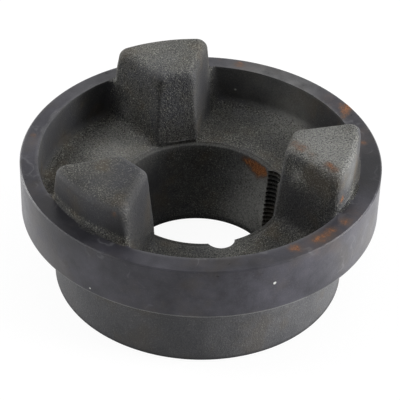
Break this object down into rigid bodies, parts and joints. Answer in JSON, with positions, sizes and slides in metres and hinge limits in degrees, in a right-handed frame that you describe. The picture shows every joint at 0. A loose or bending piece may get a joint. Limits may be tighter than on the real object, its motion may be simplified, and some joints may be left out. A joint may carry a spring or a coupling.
{
  "type": "flexible coupling flange",
  "caption": "Cast iron flange of a flexible shaft coupling, with a round rim and cup, wedge-shaped driving lugs, a rear boss and a tapered bore with screw half-holes.",
  "frame": {"origin": "centre of the boss end face, on the bore axis", "axes": "+Z along the bore axis, out of the cup; +Y towards the first driving lug"},
  "size_m": [0.085, 0.085, 0.0424],
  "materials": {
    "iron": "blackened casting, satin where turned, sandy and slightly rusty where cast"
  },
  "bodies": {
    "root": {"coupling_flange": "iron"}
  },
  "joints": []
}
